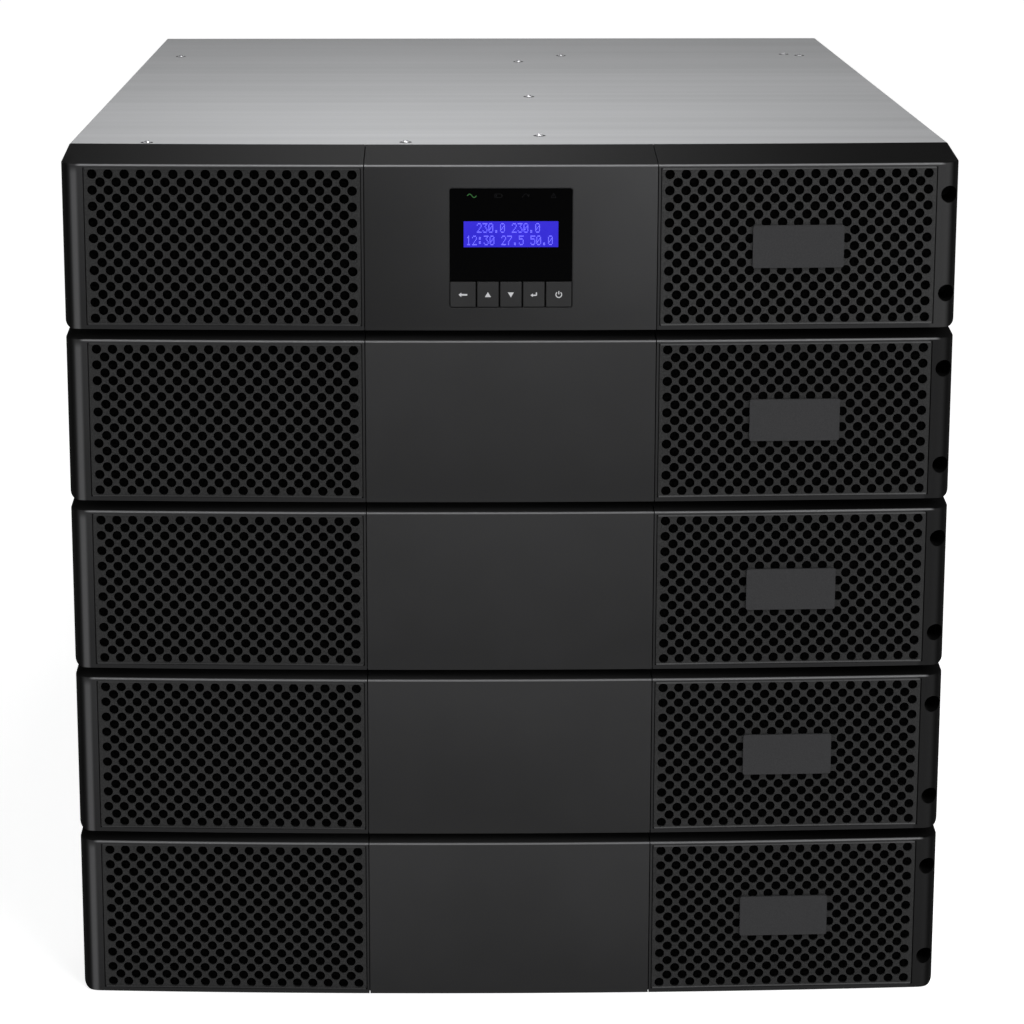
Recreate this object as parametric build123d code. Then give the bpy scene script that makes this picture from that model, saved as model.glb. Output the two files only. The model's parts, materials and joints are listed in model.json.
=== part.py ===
from build123d import *
import os
from math import asin, atan2, cos, degrees, floor, hypot, sin, sqrt

# A stack of rack modules: one power module with a display on top of battery modules of the same size.
# Millimetres, +Z up, the front faces -Y, and the origin is at the bottom centre of the stack.

# Stack
module_width = 438.0
module_height = 86.5
module_depth = 608.0
battery_count = 4

# Bezel: three mouldings that share one bowed front and a sloped top
bow_rise = 6.5
bezel_depth = 47.5
ridge_drop = 4.9
bezel_wall = 3.0
bezel_lift = 0.5
corner_radius = 9.0
end_radius = 4.5
ridge_radius = 1.1
centre_panel_width = 142.8
seam_gap = 0.5

# Perforated inserts in the two outer mouldings
grille_stile = 11.2
grille_lip = 1.0
grille_top_rail = 1.6
grille_bottom_rail = 2.0
grille_thickness = 1.2
grille_recess = 0.3
grille_gap = 0.5
grille_ledge = 1.0
hole_diameter = 4.8
hole_pitch = 7.9
row_pitch = 3.95
hole_margin = 0.2

# Blank plate on each right insert
badge_width = 44.6
badge_height = 20.9
badge_thickness = 1.2
badge_radius = 1.0

# Two fixing holes in the right end of each bezel
fixing_diameter = 8.4
fixing_depth = 26.0
fixing_inset = 5.2
fixing_height = 41.8
fixing_spacing = 48.8
fixing_wall = 1.6

# Chassis and the folded cover over it
cover_thickness = 1.2
cover_gap = 0.3
skirt_height = 9.0
rear_recess = 6.0
rear_lip = 2.0

# Display in the power module's centre panel
display_width = 59.8
display_height = 58.6
display_bottom = 11.7
display_corner = 1.2
display_gap = 0.3
display_recess = 0.5
display_chamfer = 0.5
housing_margin = 4.0
housing_depth = 9.0
window_height = 45.6
lcd_width = 46.0
lcd_height = 12.7
lcd_drop = 16.1
lcd_depth = 0.8

# Keys under the display
outer_key_width = 12.4
key_gap = 0.8
key_thickness = 4.0
key_travel = 0.8
key_clearance = 0.3
key_recess = 0.2
key_round = 0.4
key_names = ("back_key", "up_key", "down_key", "enter_key", "power_key")

# Plain rear pieces
rear_plate_thickness = 1.5
vent_width = 132.0
vent_height = 56.0
vent_offset = 125.0
slot_width = 4.0
slot_length = 44.0
slot_pitch = 8.0
connector_width = 52.0
connector_height = 34.0
connector_thickness = 3.0
connector_radius = 3.0
connector_pitch = 78.0
connector_offset = -78.0
terminal_width = 118.0
terminal_height = 54.0
terminal_thickness = 5.0
terminal_radius = 2.0
terminal_offset = -128.0
port_offset = -16.0

# Overshoot of a cutting tool past what it cuts
overshoot = 10.0

# Worked out from the sizes above
half_width = module_width / 2
front_y = -module_depth / 2
back_y = module_depth / 2
chassis_front = front_y + bezel_depth
rear_wall = back_y - rear_recess
bow_radius = (half_width**2 + bow_rise**2) / (2 * bow_rise)
bow_axis_y = front_y + bow_radius
slope_depth = bezel_depth - bow_rise
ridge_height = module_height - ridge_drop
ledge_height = module_height - cover_thickness - cover_gap
panel_half = centre_panel_width / 2


def bow_depth(x):
    """How far the bowed front lies behind its foremost point at x."""
    return bow_radius - sqrt(bow_radius**2 - x**2)


housing_front = bezel_wall + bow_depth(display_width / 2 + housing_margin)


def between(x_low, x_high):
    """A block from x_low to x_high that holds a whole module."""
    size_y = module_depth + 2 * overshoot
    size_z = module_height + 2 * overshoot
    return Pos((x_low + x_high) / 2, 0, module_height / 2) * Box(x_high - x_low, size_y, size_z)


def block(x_low, x_high, y_low, y_high, z_low, z_high):
    """A box given by its six faces."""
    centre = Pos((x_low + x_high) / 2, (y_low + y_high) / 2, (z_low + z_high) / 2)
    return centre * Box(x_high - x_low, y_high - y_low, z_high - z_low)


def plate(width, height, radius):
    """A rounded rectangle about the origin."""
    return RectangleRounded(width, height, radius)


def bezel_plan(inset, reach):
    """The bezel from above: bowed front, rounded ends and a straight back, drawn in by inset."""
    y_low = front_y - overshoot
    y_high = chassis_front + reach
    disc = Pos(0, bow_axis_y) * Circle(bow_radius - inset)
    slab = Pos(0, (y_low + y_high) / 2) * Rectangle(module_width - 2 * inset, y_high - y_low)
    plan = disc & slab
    return fillet(plan.vertices().sort_by(Axis.Y)[:2], corner_radius - inset)


def bezel_elevation(inset):
    """The bezel from the front: a rectangle with rounded lower corners, drawn in by inset."""
    z_low = bezel_lift + inset
    z_high = module_height + overshoot
    face = Pos(0, (z_low + z_high) / 2) * Rectangle(module_width - 2 * inset, z_high - z_low)
    return fillet(face.vertices().sort_by(Axis.Y)[:2], end_radius - inset)


def turned(points):
    """An outline of (y, z) points, turned about the upright axis of the bow across the whole width."""
    axis = Axis((0, bow_axis_y, 0), (0, 0, 1))
    turn = 2 * degrees(asin((half_width + overshoot) / (bow_radius - bezel_depth - overshoot)))
    outline = make_face(Plane.YZ * Polyline(*points, close=True))
    return revolve(outline.rotate(axis, -turn / 2), axis, turn)


def outer_section():
    """Below the sloped top, with a ledge behind it that lies under the cover."""
    y_low = front_y - overshoot
    y_high = chassis_front + overshoot
    slope_end = front_y + slope_depth
    z_low = ridge_height - overshoot * ridge_drop / slope_depth
    return turned(
        [
            (y_low, -overshoot),
            (y_low, z_low),
            (slope_end, module_height),
            (slope_end, ledge_height),
            (y_high, ledge_height),
            (y_high, -overshoot),
        ]
    )


def inner_section():
    """The same, one wall lower, with its ceiling level with the underside of the ledge."""
    slope = ridge_drop / slope_depth
    y_low = front_y - overshoot
    y_high = chassis_front + 2 * overshoot
    ceiling = ledge_height - bezel_wall
    y_level = front_y + (ceiling - ridge_height + bezel_wall) / slope
    z_low = ridge_height - bezel_wall - overshoot * slope
    return turned(
        [
            (y_low, -overshoot),
            (y_low, z_low),
            (y_level, ceiling),
            (y_high, ceiling),
            (y_high, -overshoot),
        ]
    )


def bezel_blank():
    """All three mouldings as one solid, with the ridge between front and slope rounded."""
    plan = extrude(bezel_plan(0, 0), module_height)
    elevation = extrude(Plane.XZ * bezel_elevation(0), module_depth, both=True)
    blank = plan & elevation & outer_section()
    slope = blank.faces().filter_by(GeomType.CONE).sort_by(Axis.Z)[-1]
    ridge = [edge for edge in slope.edges() if edge.center().Z < module_height - ridge_drop / 4]
    return fillet(ridge, ridge_radius)


def bezel_cavity():
    """The hollow inside the mouldings, open to the chassis."""
    plan = extrude(bezel_plan(bezel_wall, overshoot), module_height)
    elevation = extrude(Plane.XZ * bezel_elevation(bezel_wall), module_depth, both=True)
    return plan & elevation & inner_section()


def grille_plane(side):
    """The flat seat of an insert, across the chord of the bow, with x to the right and z outwards."""
    inner = panel_half + seam_gap / 2 + grille_lip
    outer = half_width - grille_stile
    run = outer - inner
    rise = bow_depth(outer) - bow_depth(inner)
    tilt = atan2(rise, run)
    middle_y = front_y + (bow_depth(outer) + bow_depth(inner)) / 2
    low = bezel_lift + grille_bottom_rail
    high = ridge_height - grille_top_rail
    origin = (side * (inner + outer) / 2, middle_y, (low + high) / 2)
    plane = Plane(origin, x_dir=(cos(tilt), side * sin(tilt), 0), z_dir=(side * sin(tilt), -cos(tilt), 0))
    return plane, hypot(run, rise), high - low


def hole_centres(width, height):
    """Staggered rows of holes about the middle of a plate, alternately full and one hole shorter."""
    rim = 2 * hole_margin + hole_diameter
    columns = floor((width - rim) / hole_pitch) + 1
    rows = floor((height - rim) / row_pitch) + 1
    for row in range(rows):
        count = columns - row % 2
        z = (row - (rows - 1) / 2) * row_pitch
        for column in range(count):
            yield (column - (count - 1) / 2) * hole_pitch, z


def under_badge(x, z):
    """Whether a hole's centre lies behind the blank plate."""
    return abs(x) < badge_width / 2 and abs(z) < badge_height / 2


def grille(side):
    """A perforated insert, flat in its seat, left whole behind the blank plate on the right one."""
    plane, width, height = grille_plane(side)
    size = (width - 2 * grille_gap, height - 2 * grille_gap)
    holes = [
        Wire(Pos(x, z) * Edge.make_circle(hole_diameter / 2))
        for x, z in hole_centres(*size)
        if side < 0 or not under_badge(x, z)
    ]
    sheet = Face(Wire.make_rect(*size), holes)
    solid = extrude(sheet, grille_thickness, dir=(0, 0, -1))
    return plane * Pos(0, 0, -grille_recess) * solid


def badge():
    """A blank plate on the face of the right insert."""
    plane, _, _ = grille_plane(1)
    solid = extrude(plate(badge_width, badge_height, badge_radius), badge_thickness)
    return plane * Pos(0, 0, -grille_recess) * solid


def grille_seat(side):
    """What the insert and the opening behind it take out of an outer moulding."""
    plane, width, height = grille_plane(side)
    floor_depth = grille_recess + grille_thickness
    rebate = Pos(0, 0, (overshoot - floor_depth) / 2) * Box(width, height, overshoot + floor_depth)
    opening = Box(width - 2 * grille_ledge, height - 2 * grille_ledge, 2 * bezel_depth)
    return plane * rebate + plane * opening & between(-half_width, half_width)


def fixing_pins(radius, depth):
    """Two upright-spaced rods into the right end of the bezel, from in front of it to the given depth."""
    start = front_y - overshoot
    length = depth + bow_depth(half_width - fixing_inset) + overshoot
    rods = []
    for step in (-1, 1):
        height = fixing_height + step * fixing_spacing / 2
        centre = Pos(half_width - fixing_inset, start + length / 2, height)
        rods.append(centre * Rot(90, 0, 0) * Cylinder(radius, length))
    return rods


def left_bezel(blank, cavity):
    edge = panel_half + seam_gap / 2
    shell = blank & between(-half_width - overshoot, -edge)
    hollow = cavity & between(-half_width - overshoot, -edge - bezel_wall)
    return shell - hollow - grille_seat(-1)


def right_bezel(blank, cavity):
    """The right moulding has a boss round each fixing hole."""
    edge = panel_half + seam_gap / 2
    shell = blank & between(edge, half_width + overshoot)
    hollow = cavity & between(edge + bezel_wall, half_width + overshoot)
    for boss in fixing_pins(fixing_diameter / 2 + fixing_wall, fixing_depth + fixing_wall):
        hollow -= boss
    moulding = shell - hollow - grille_seat(1)
    for hole in fixing_pins(fixing_diameter / 2, fixing_depth):
        moulding -= hole
    return moulding


def display_frame():
    """The plane of the display: x to the right, y up, z outwards, at the middle of its opening."""
    origin = (0, front_y, display_bottom + display_height / 2)
    return Plane(origin, x_dir=(1, 0, 0), z_dir=(0, -1, 0))


def centre_panel(blank, cavity):
    edge = panel_half - seam_gap / 2
    return (blank & between(-edge, edge)) - (cavity & between(-edge + bezel_wall, edge - bezel_wall))


def power_panel(panel):
    """The centre panel of the power module, with a chamfered opening for its display and keys."""
    opening = extrude(plate(display_width, display_height, display_corner), overshoot, both=True)
    pierced = panel - display_frame() * opening
    reach = Vector(display_width / 2, bezel_wall / 2, display_height / 2) + Vector(1, 0, 1) * display_corner
    middle = display_frame().origin
    rim = []
    for edge in pierced.edges():
        place = edge.center() - middle
        outside = edge.bounding_box().max.Y < front_y + reach.Y
        if outside and abs(place.X) < reach.X and abs(place.Z) < reach.Z:
            rim.append(edge)
    return chamfer(rim, display_chamfer)


def key_floor():
    """Depth of the key wells' floor behind the front: room for a key's thickness and its travel."""
    return key_recess + key_thickness + key_travel + key_clearance


def display_housing():
    """A block behind the panel that carries the window and holds the keys in a well."""
    back = Pos(0, 0, -housing_front - housing_depth / 2)
    body = back * Box(display_width + 2 * housing_margin, display_height + 2 * housing_margin, housing_depth)
    well_height = display_height - window_height
    well_middle = -(display_height - well_height) / 2
    depth = key_floor()
    well = Pos(0, well_middle, -depth / 2) * Box(display_width, well_height, depth)
    return display_frame() * (body - well)


def display_window():
    """The dark window over the display, with a shallow seat for the screen."""
    width = display_width - 2 * display_gap
    height = display_height - 2 * display_gap
    upper = Pos(0, (display_height - window_height) / 2) * Rectangle(width, window_height - 2 * display_gap)
    face = plate(width, height, display_corner - display_gap) & upper
    body = Pos(0, 0, -housing_front) * extrude(face, housing_front - display_recess)
    return display_frame() * (body - lcd_body())


def lcd_body():
    """The screen, level with the window's face."""
    middle = display_height / 2 - lcd_drop - lcd_height / 2
    face = Rectangle(lcd_width, lcd_height)
    return Pos(0, middle, -display_recess - lcd_depth) * extrude(face, lcd_depth)


def keys():
    """Five keys side by side, the outer two wider and rounded at their lower outer corner."""
    row_width = display_width - 2 * key_clearance
    inner_width = (row_width - 2 * outer_key_width - 4 * key_gap) / 3
    widths = [outer_key_width, inner_width, inner_width, inner_width, outer_key_width]
    height = display_height - window_height - 2 * key_clearance
    middle = -display_height / 2 + key_clearance + height / 2
    left = -row_width / 2
    pieces = []
    for number, width in enumerate(widths):
        cap = extrude(Rectangle(width, height), key_thickness)
        outer = [edge for edge in cap.edges().filter_by(Axis.Z) if edge.center().Y < 0]
        outer = sorted(outer, key=lambda edge: edge.center().X)
        if number == 0:
            cap = fillet(outer[:1], display_corner - key_clearance)
        if number == len(widths) - 1:
            cap = fillet(outer[-1:], display_corner - key_clearance)
        cap = fillet(cap.faces().sort_by(Axis.Z)[-1].edges(), key_round)
        place = Pos(left + width / 2, middle, -key_recess - key_thickness)
        pieces.append(display_frame() * place * cap)
        left += width + key_gap
    return pieces


def chassis():
    """A closed case: its core fits inside the cover, and its skirt shows below the cover's sides."""
    core_half = half_width - cover_thickness
    core_top = module_height - cover_thickness
    core = block(-core_half, core_half, chassis_front, back_y, 0, core_top)
    skirt = block(-half_width, half_width, chassis_front, back_y, 0, skirt_height)
    recess = block(-core_half, core_half, rear_wall, back_y + overshoot, rear_lip, core_top + overshoot)
    return core + skirt - recess


def cover():
    """A folded sheet over the top and both sides, whose front edge follows the bow of the bezel."""
    edge_radius = bow_radius - slope_depth - cover_gap
    side_front = bow_axis_y - sqrt(edge_radius**2 - half_width**2)
    disc = Pos(0, bow_axis_y) * Circle(edge_radius)
    slab = Pos(0, 0) * Rectangle(module_width, module_depth)
    top = Pos(0, 0, module_height - cover_thickness) * extrude(disc & slab, cover_thickness)
    low = skirt_height + cover_gap
    inner = half_width - cover_thickness
    left = block(-half_width, -inner, side_front, back_y, low, module_height)
    right = block(inner, half_width, side_front, back_y, low, module_height)
    sheet = top + left + right
    corners = sheet.edges().filter_by(Axis.Y).group_by(Axis.Z)[-1]
    return fillet(corners, 0.95 * cover_thickness)


def rear_frame():
    """The plane of the rear wall: x to the right as seen from behind, y up, z outwards."""
    return Plane((0, rear_wall, module_height / 2), x_dir=(-1, 0, 0), z_dir=(0, 1, 0))


def rear_vent():
    """A slotted plate on the rear wall."""
    face = Rectangle(vent_width, vent_height)
    count = floor((vent_width - slot_pitch) / slot_pitch)
    slots = [
        Pos((number - (count - 1) / 2) * slot_pitch, 0) * Rot(0, 0, 90) * SlotOverall(slot_length, slot_width)
        for number in range(count)
    ]
    return rear_frame() * Pos(vent_offset, 0) * extrude(face - slots, rear_plate_thickness)


def connector_cover(offset):
    """A closed cover over a battery connector on the rear wall."""
    solid = extrude(plate(connector_width, connector_height, connector_radius), connector_thickness)
    return rear_frame() * Pos(offset, 0) * solid


def terminal_cover():
    """A closed cover over the power module's mains terminals."""
    solid = extrude(plate(terminal_width, terminal_height, terminal_radius), terminal_thickness)
    return rear_frame() * Pos(terminal_offset, 0) * solid


def write(name, shape):
    export_step(shape, f"parts/{name}.step")


def write_module(name, level, panel, shapes):
    """One module of the stack, with every piece raised to its level."""
    raised = Pos(0, 0, level)
    write(f"{name}_centre_panel", raised * panel)
    for piece, shape in shapes.items():
        write(f"{name}_{piece}", raised * shape)


def main():
    os.makedirs("parts", exist_ok=True)
    blank = bezel_blank()
    cavity = bezel_cavity()
    panel = centre_panel(blank, cavity)
    shapes = {
        "chassis": chassis(),
        "cover": cover(),
        "left_bezel": left_bezel(blank, cavity),
        "right_bezel": right_bezel(blank, cavity),
        "left_grille": grille(-1),
        "right_grille": grille(1),
    }
    power_level = battery_count * module_height
    write_module("power", power_level, power_panel(panel), shapes)
    battery_levels = [number * module_height for number in reversed(range(battery_count))]
    for number, level in enumerate(battery_levels, 1):
        write_module(f"battery_{number}", level, panel, shapes)

    levels = [power_level] + battery_levels
    write("badge_plates", Compound([Pos(0, 0, level) * badge() for level in levels]))
    write("rear_vents", Compound([Pos(0, 0, level) * rear_vent() for level in levels]))
    top = Pos(0, 0, power_level)
    ports = [top * connector_cover(port_offset)]
    for level in battery_levels:
        for step in (-0.5, 0.5):
            ports.append(Pos(0, 0, level) * connector_cover(connector_offset + step * connector_pitch))
    write("connector_covers", Compound(ports))
    write("terminal_cover", top * terminal_cover())

    write("display_housing", top * display_housing())
    write("display_window", top * display_window())
    write("lcd_screen", top * (display_frame() * lcd_body()))
    for name, key in zip(key_names, keys()):
        write(name, top * key)


main()
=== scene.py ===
import json
from math import cos, pi, radians, sin

import bmesh
import bpy
import numpy as np
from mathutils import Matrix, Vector


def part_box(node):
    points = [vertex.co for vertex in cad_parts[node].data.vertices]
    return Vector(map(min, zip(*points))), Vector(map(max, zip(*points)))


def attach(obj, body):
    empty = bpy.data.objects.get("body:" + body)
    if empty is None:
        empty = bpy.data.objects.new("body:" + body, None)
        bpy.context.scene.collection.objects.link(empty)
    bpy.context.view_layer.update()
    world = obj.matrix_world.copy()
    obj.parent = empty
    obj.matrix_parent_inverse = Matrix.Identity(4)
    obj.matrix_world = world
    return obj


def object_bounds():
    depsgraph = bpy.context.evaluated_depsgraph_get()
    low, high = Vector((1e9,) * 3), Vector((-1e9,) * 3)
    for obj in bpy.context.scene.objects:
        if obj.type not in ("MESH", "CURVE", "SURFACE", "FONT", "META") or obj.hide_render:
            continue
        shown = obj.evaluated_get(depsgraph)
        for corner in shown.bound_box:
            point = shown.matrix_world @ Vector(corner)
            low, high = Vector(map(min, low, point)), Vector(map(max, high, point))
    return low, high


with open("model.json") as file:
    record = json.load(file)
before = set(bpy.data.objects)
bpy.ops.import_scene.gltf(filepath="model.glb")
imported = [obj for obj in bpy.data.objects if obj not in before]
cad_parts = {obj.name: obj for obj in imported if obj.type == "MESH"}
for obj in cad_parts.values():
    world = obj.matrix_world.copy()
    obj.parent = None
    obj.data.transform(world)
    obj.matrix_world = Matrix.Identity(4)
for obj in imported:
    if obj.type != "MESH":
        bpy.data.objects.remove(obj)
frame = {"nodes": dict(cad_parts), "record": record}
cad_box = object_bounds()

MM = 0.001
BODY = "stack"
MODULE_HEIGHT = 86.5 * MM
BATTERIES = [f"battery_{number}" for number in range(1, 5)]
MODULES = ["power"] + BATTERIES
KEYS = ("back_key", "up_key", "down_key", "enter_key", "power_key")

# The directions right, up and out, as seen by someone who faces each side
FRONT = ((1, 0, 0), (0, 0, 1), (0, -1, 0))
BACK = ((-1, 0, 0), (0, 0, 1), (0, 1, 0))
TOP = ((1, 0, 0), (0, 1, 0), (0, 0, 1))
LEFT = ((0, -1, 0), (0, 0, 1), (-1, 0, 0))
RIGHT = ((0, 1, 0), (0, 0, 1), (1, 0, 0))
# The four corners of a rectangle, from its middle
QUARTERS = ((-1, -1), (-1, 1), (1, -1), (1, 1))


# Small tools for surfaces

# Points closer than the first are merged, and edges shorter than the second are dissolved
MERGE_DISTANCE = 1e-7
NO_LENGTH = 1e-8
# An edge that turns by more than this stays sharp, in degrees
SHARP_ANGLE = 40
CIRCLE_POINTS = 48


def corners(node):
    """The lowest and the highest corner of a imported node."""
    low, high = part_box(node)
    return np.array(low), np.array(high)


def surface(points, wrap_u=False, wrap_v=False):
    """A grid of points (rows u, columns v) as vertices and four-sided faces, joined where it wraps."""
    points = np.asarray(points, float)
    rows, columns = points.shape[:2]
    index = np.arange(rows * columns).reshape(rows, columns)
    if wrap_u:
        index = np.vstack([index, index[:1]])
    if wrap_v:
        index = np.hstack([index, index[:, :1]])
    around = (index[:-1, :-1], index[1:, :-1], index[1:, 1:], index[:-1, 1:])
    return points.reshape(-1, 3), np.stack([corner.ravel() for corner in around], 1)


def piece(name, shells, finish, body=BODY, smooth=True):
    """One object from several surfaces: equal points are merged, and faces are turned outwards."""
    starts = np.cumsum([0] + [len(points) for points, _ in shells[:-1]])
    points = np.vstack([points for points, _ in shells])
    faces = np.vstack([faces + start for (_, faces), start in zip(shells, starts)])
    mesh = bpy.data.meshes.new(name)
    mesh.from_pydata(points.tolist(), [], faces.tolist())
    work = bmesh.new()
    work.from_mesh(mesh)
    bmesh.ops.remove_doubles(work, verts=work.verts, dist=MERGE_DISTANCE)
    bmesh.ops.dissolve_degenerate(work, edges=work.edges, dist=NO_LENGTH)
    bmesh.ops.recalc_face_normals(work, faces=work.faces)
    work.to_mesh(mesh)
    work.free()
    if smooth:
        mesh.shade_smooth()
        mesh.set_sharp_from_angle(angle=radians(SHARP_ANGLE))
    mesh.materials.append(finish)
    thing = bpy.data.objects.new(name, mesh)
    bpy.context.scene.collection.objects.link(thing)
    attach(thing, body)
    return thing


def spread(points, centre, right, up, out):
    """Points given as (right, up, out) from a centre, set in the stack's frame."""
    axes = np.array([right, up, out], float)
    return np.asarray(points, float) @ axes + np.asarray(centre, float)


def copies(shell, offsets):
    """One surface repeated at each offset, as a single surface: its points plus each offset in turn."""
    points, faces = shell
    offsets = np.asarray(offsets, float)
    moved = (points[None] + offsets[:, None]).reshape(-1, 3)
    starts = np.arange(len(offsets)) * len(points)
    return moved, (faces[None] + starts[:, None, None]).reshape(-1, 4)


def ribbon(path, width, thickness, centre, side, closed=False):
    """A flat band: a rectangle, width by thickness, carried along a line of (right, up) points."""
    path = np.asarray(path, float)
    if closed:
        ahead = np.roll(path, -1, 0) - np.roll(path, 1, 0)
    else:
        ahead = np.gradient(path, axis=0)
    ahead /= np.linalg.norm(ahead, axis=1, keepdims=True)
    across = np.stack([-ahead[:, 1], ahead[:, 0]], 1) * width / 2
    low = np.zeros((len(path), 1))
    high = low + thickness
    section = [(across, low), (across, high), (-across, high), (-across, low)]
    grid = np.stack([np.hstack([path + offset, level]) for offset, level in section], 1)
    if closed:
        return surface(spread(grid, centre, *side), wrap_u=True, wrap_v=True)
    ends = [np.repeat(end.mean(0)[None, None], len(section), 1) for end in (grid[0], grid[-1])]
    grid = np.concatenate([ends[0], grid, ends[1]])
    return surface(spread(grid, centre, *side), wrap_v=True)


def slab(outline, thickness, centre, side):
    """A flat shape: an outline of (right, up) points raised by a thickness, faces closed to the middle."""
    outline = np.asarray(outline, float)
    middle = np.repeat(outline.mean(0)[None], len(outline), 0)
    levels = [(middle, 0), (outline, 0), (outline, thickness), (middle, thickness)]
    grid = np.stack([np.hstack([points, np.full((len(points), 1), level)]) for points, level in levels])
    return surface(spread(grid, centre, *side), wrap_v=True)


def arc(radius, start, end, count):
    """Points on a circle about the origin, angles in degrees."""
    angle = np.radians(np.linspace(start, end, count))
    return np.stack([radius * np.cos(angle), radius * np.sin(angle)], 1)


def circle(radius):
    """Points all round a circle about the origin, the first one not repeated."""
    return arc(radius, 0, 360 - 360 / CIRCLE_POINTS, CIRCLE_POINTS)


def rounded(width, height, radius, count=6):
    """A rectangle with round corners, as points about the origin: a quarter of a circle at each corner."""
    quarters = []
    for number, (x, y) in enumerate(((1, 1), (-1, 1), (-1, -1), (1, -1))):
        centre = np.array([x * (width / 2 - radius), y * (height / 2 - radius)])
        quarters.append(centre + arc(radius, 90 * number, 90 * number + 90, count))
    return np.vstack(quarters)


# Screw heads

HEAD_POINTS = 40
# The rings of a head, as shares of its radius
HEAD_RINGS = np.array([0.0, 0.12, 0.22, 0.32, 0.42, 0.52, 0.62, 0.75, 0.88, 0.96, 1.0])
# How much the square of the dome's height loses from its middle to its rim, as a share
DOME_DROP = 0.9
# Where a slot's depth starts to fall and where it ends, across and along it, as shares of the radius
SLOT_ACROSS = (0.066, 0.176)
SLOT_ALONG = (0.50, 0.62)
# A slot's depth, as a share of the head's height
SLOT_DEPTH = 0.75


def fall(distance, start, end):
    """1 up to the start, 0 from the end on, and a straight line between them."""
    return np.clip((end - distance) / (end - start), 0, 1)


def screw(centre, side, radius, height, turn=0.0, power=4):
    """A round head: its height is the square root of 1 less a power of the distance from its middle, so
    that a power of 2 gives a button and a higher one a flatter head, and it ends in a rim that drops to its
    seat. Two crossed slots are pressed into the middle, and get shallower away from their lines."""
    around = np.linspace(0, 2 * pi, HEAD_POINTS, endpoint=False)
    share, angle = np.meshgrid(HEAD_RINGS, around, indexing="ij")
    x = share * np.cos(angle)
    y = share * np.sin(angle)
    dome = np.sqrt(1 - DOME_DROP * share ** power)
    along = np.maximum(np.abs(x), np.abs(y))
    across = np.minimum(np.abs(x), np.abs(y))
    slot = fall(across, *SLOT_ACROSS) * fall(along, *SLOT_ALONG)
    top = np.stack([x, y, dome - SLOT_DEPTH * slot], -1)
    rim = top[-1:] * (1, 1, 0)
    middle = np.zeros_like(rim)
    grid = np.concatenate([top, rim, middle]) * (radius, radius, height)
    turned = grid @ np.array([(cos(turn), sin(turn), 0), (-sin(turn), cos(turn), 0), (0, 0, 1)])
    return surface(spread(turned, centre, *side), wrap_v=True)


# Small tools for finishes


def new_finish(name, colour, roughness, metallic=0.0, specular=0.5):
    """A material with one principled shader, whose plain values are set on its own sockets."""
    finish = bpy.data.materials.new(name)
    finish.use_nodes = True
    shader = finish.node_tree.nodes["Principled BSDF"]
    shader.inputs["Base Color"].default_value = (*colour, 1)
    shader.inputs["Roughness"].default_value = roughness
    shader.inputs["Metallic"].default_value = metallic
    shader.inputs["Specular IOR Level"].default_value = specular
    return finish, finish.node_tree, shader


def add(tree, kind, **values):
    """A node with some of its inputs or settings set."""
    node = tree.nodes.new(kind)
    for key, value in values.items():
        if key in node.inputs:
            node.inputs[key].default_value = value
        else:
            setattr(node, key, value)
    return node


def object_noise(tree, scale, detail=2.0, stretch=(1, 1, 1)):
    """Noise on the object's own coordinates, drawn out by a stretch."""
    place = add(tree, "ShaderNodeTexCoord")
    mapping = add(tree, "ShaderNodeMapping", Scale=stretch)
    noise = add(tree, "ShaderNodeTexNoise", Scale=scale, Detail=detail, Roughness=0.5)
    tree.links.new(place.outputs["Object"], mapping.inputs["Vector"])
    tree.links.new(mapping.outputs["Vector"], noise.inputs["Vector"])
    return noise.outputs["Fac"]


def ramp(tree, factor, low, high, start=0.3, end=0.7):
    """A colour between two, as a factor goes from start to end."""
    node = add(tree, "ShaderNodeValToRGB")
    node.color_ramp.elements[0].position = start
    node.color_ramp.elements[0].color = (*low, 1)
    node.color_ramp.elements[1].position = end
    node.color_ramp.elements[1].color = (*high, 1)
    tree.links.new(factor, node.inputs["Fac"])
    return node.outputs["Color"]


def span(tree, value, low, high, start=0.0, end=1.0, kind="LINEAR"):
    """A number that goes from low to high as a value goes from start to end."""
    node = add(tree, "ShaderNodeMapRange", interpolation_type=kind)
    limits = {"From Min": start, "From Max": end, "To Min": low, "To Max": high}
    for socket, limit in limits.items():
        node.inputs[socket].default_value = limit
    tree.links.new(value, node.inputs["Value"])
    return node.outputs["Result"]


def smooth_step(tree, value, start, end):
    """A number that goes smoothly from 0 to 1 as a value goes from start to end, up or down."""
    low, high = (0.0, 1.0) if start < end else (1.0, 0.0)
    return span(tree, value, low, high, min(start, end), max(start, end), "SMOOTHSTEP")


def bump(tree, shader, height, strength, distance):
    """Fine relief on a shader, from a height."""
    node = add(tree, "ShaderNodeBump", Strength=strength, Distance=distance)
    tree.links.new(height, node.inputs["Height"])
    tree.links.new(node.outputs["Normal"], shader.inputs["Normal"])


def maths(tree, operation, first, second=None):
    """One arithmetic node on a link and, where it takes two, a number or another link."""
    node = add(tree, "ShaderNodeMath", operation=operation)
    tree.links.new(first, node.inputs[0])
    if isinstance(second, (int, float)):
        node.inputs[1].default_value = second
    elif second is not None:
        tree.links.new(second, node.inputs[1])
    return node.outputs["Value"]


def weighted(tree, *parts):
    """The sum of several links, each times its share."""
    products = [maths(tree, "MULTIPLY", link, share) for link, share in parts]
    total = products[0]
    for product in products[1:]:
        total = maths(tree, "ADD", total, product)
    return total


def scaled(tree, colour, factor):
    """A colour made lighter or darker by a factor."""
    node = add(tree, "ShaderNodeVectorMath", operation="SCALE")
    tree.links.new(colour, node.inputs["Vector"])
    tree.links.new(factor, node.inputs["Scale"])
    return node.outputs["Vector"]


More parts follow.
